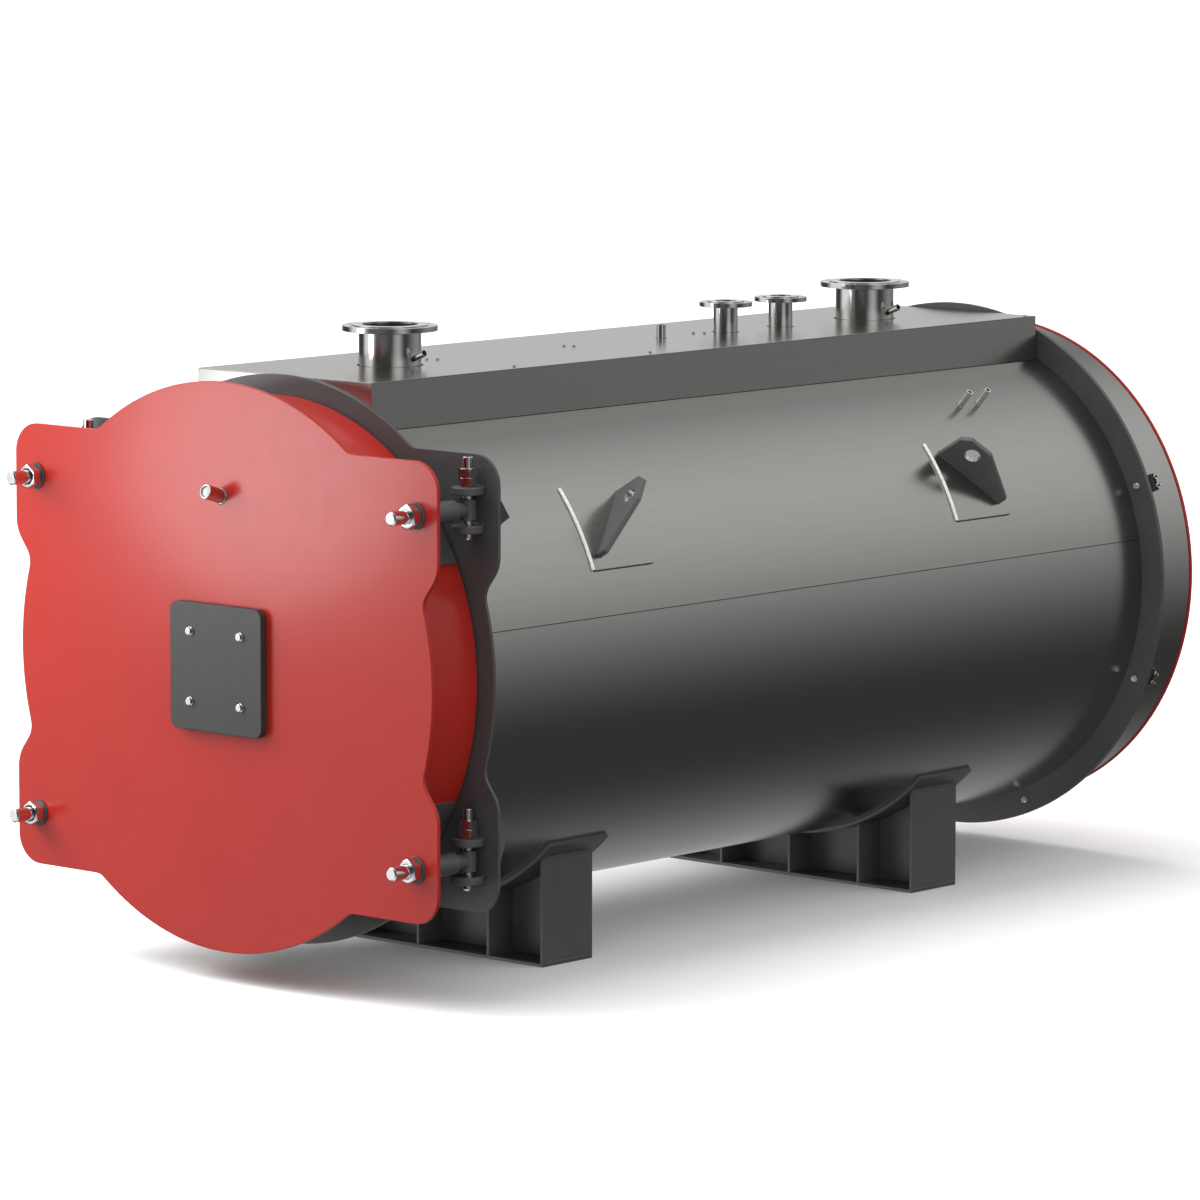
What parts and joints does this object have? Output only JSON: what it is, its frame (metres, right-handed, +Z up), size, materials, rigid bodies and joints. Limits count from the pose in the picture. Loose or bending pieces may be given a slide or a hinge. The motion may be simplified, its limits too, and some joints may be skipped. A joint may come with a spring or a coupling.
{
  "type": "horizontal fire-tube hot-water boiler",
  "caption": "Horizontal cylindrical boiler on two saddles, with a round eared front door on eye-bolt hinges, a flat deck with flanged nozzles, and lifting plates.",
  "frame": {"origin": "middle of the boiler's footprint box, at floor level", "axes": "+Z up, +Y along the boiler from the door to the rear, +X to the right seen from in front of the door"},
  "size_m": [2.0118, 4.54, 2.2185],
  "materials": {
    "red_enamel": "satin red enamel on steel plate",
    "graphite_enamel": "dark grey satin enamel on steel plate",
    "jacket_steel": "brushed stainless sheet",
    "polished_steel": "polished stainless steel",
    "zinc_fastener": "bright zinc-plated steel",
    "boiler_plate": "plain boiler steel, unpainted",
    "refractory": "cast refractory concrete",
    "sight_glass": "clear heat-proof glass"
  },
  "bodies": {
    "boiler": {"air_stub": "polished_steel", "deck_ends": "jacket_steel", "deck_sides": "jacket_steel", "deck_top": "jacket_steel", "fire_tubes": "boiler_plate", "flue_outlet": "graphite_enamel", "front_ring": "graphite_enamel", "front_tube_plate": "boiler_plate", "furnace_tube": "boiler_plate", "gauge_stubs": "polished_steel", "hinge_lugs": "graphite_enamel", "hinge_pins": "zinc_fastener", "jacket_lower_left": "jacket_steel", "jacket_lower_right": "jacket_steel", "jacket_upper_left": "jacket_steel", "jacket_upper_right": "jacket_steel", "lifting_lugs": "graphite_enamel", "lifting_pads": "jacket_steel", "pin_nuts": "zinc_fastener", "pressure_shell": "boiler_plate", "rear_drum": "jacket_steel", "rear_plate": "red_enamel", "rear_ring": "graphite_enamel", "rear_tube_plate": "boiler_plate", "ring_gussets": "graphite_enamel", "saddle_bases": "graphite_enamel", "saddle_end_plates": "graphite_enamel", "saddle_ribs": "graphite_enamel", "saddle_wear_plates": "graphite_enamel", "saddle_webs": "graphite_enamel", "safety_valve_flanges": "polished_steel", "safety_valve_pipes": "polished_steel", "water_flanges": "polished_steel", "water_pipes": "polished_steel"},
    "door": {"door_plate": "red_enamel", "door_rim": "red_enamel", "door_lining": "refractory", "door_corner_pads": "graphite_enamel", "burner_blank_plate": "graphite_enamel", "sight_pipe": "polished_steel", "sight_glass": "sight_glass", "hinge_bolts": "graphite_enamel", "stud_washers": "graphite_enamel", "stud_nuts": "zinc_fastener"},
    "latches": {"latch_bolts": "graphite_enamel"}
  },
  "joints": [
    {"name": "door_swing", "type": "hinge", "parent": "boiler", "child": "door", "pos_m": [0.905, -1.892, 1.095], "axis": [0, 0, 1], "range_deg": [0, 90]},
    {"name": "latch_swing", "type": "hinge", "parent": "boiler", "child": "latches", "pos_m": [-0.905, -1.892, 1.095], "axis": [0, 0, 1], "range_deg": [0, 77]}
  ],
  "couplings": [
    {"joint": "latch_swing", "follows": "door_swing", "ratio": 0.85}
  ]
}
